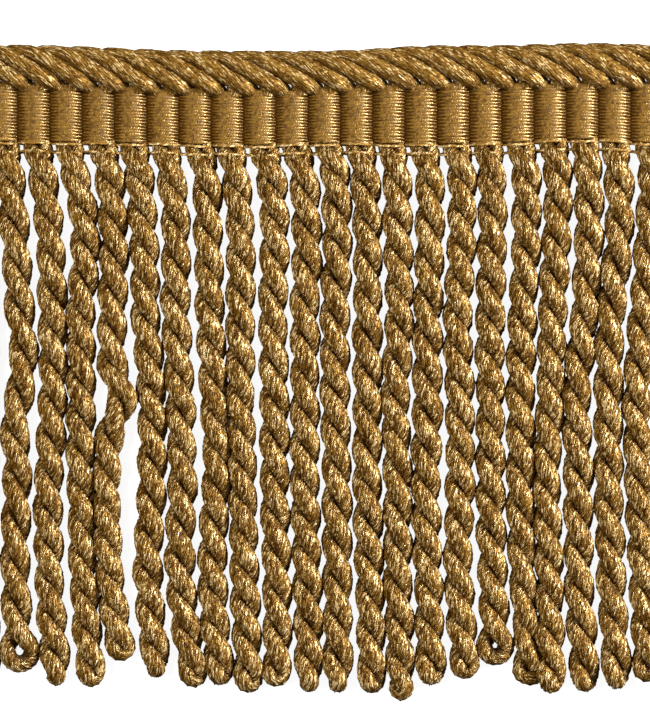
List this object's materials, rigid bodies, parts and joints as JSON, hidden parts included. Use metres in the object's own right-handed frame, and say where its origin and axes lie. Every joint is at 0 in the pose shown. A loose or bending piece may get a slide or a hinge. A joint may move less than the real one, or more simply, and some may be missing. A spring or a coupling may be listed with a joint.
{
  "type": "bullion fringe",
  "caption": "Cut length of bullion fringe: a narrow ribbed woven heading with a corded top edge and a row of thick cord loops twisted on themselves below it.",
  "frame": {"origin": "middle of the box, on the surface that the fringe lies on", "axes": "+X along the length, left to right as seen from the front; +Y up the fringe, from the strand ends to the corded top edge; +Z out of the front, away from the surface"},
  "size_m": [0.1677, 0.1548, 0.0069],
  "materials": {
    "heading_yarn": "antique gold thread woven over ribs of cord, with a soft shine along each thread",
    "crown_cord": "antique gold twisted cord, lustrous, with bright flecks on the yarns",
    "bullion_cord": "antique gold twisted cord, lustrous, with bright flecks on the yarns and deep brown in the grooves"
  },
  "bodies": {
    "root": {"heading": "heading_yarn", "crown": "crown_cord", "bullion_skirt": "bullion_cord"}
  },
  "joints": []
}
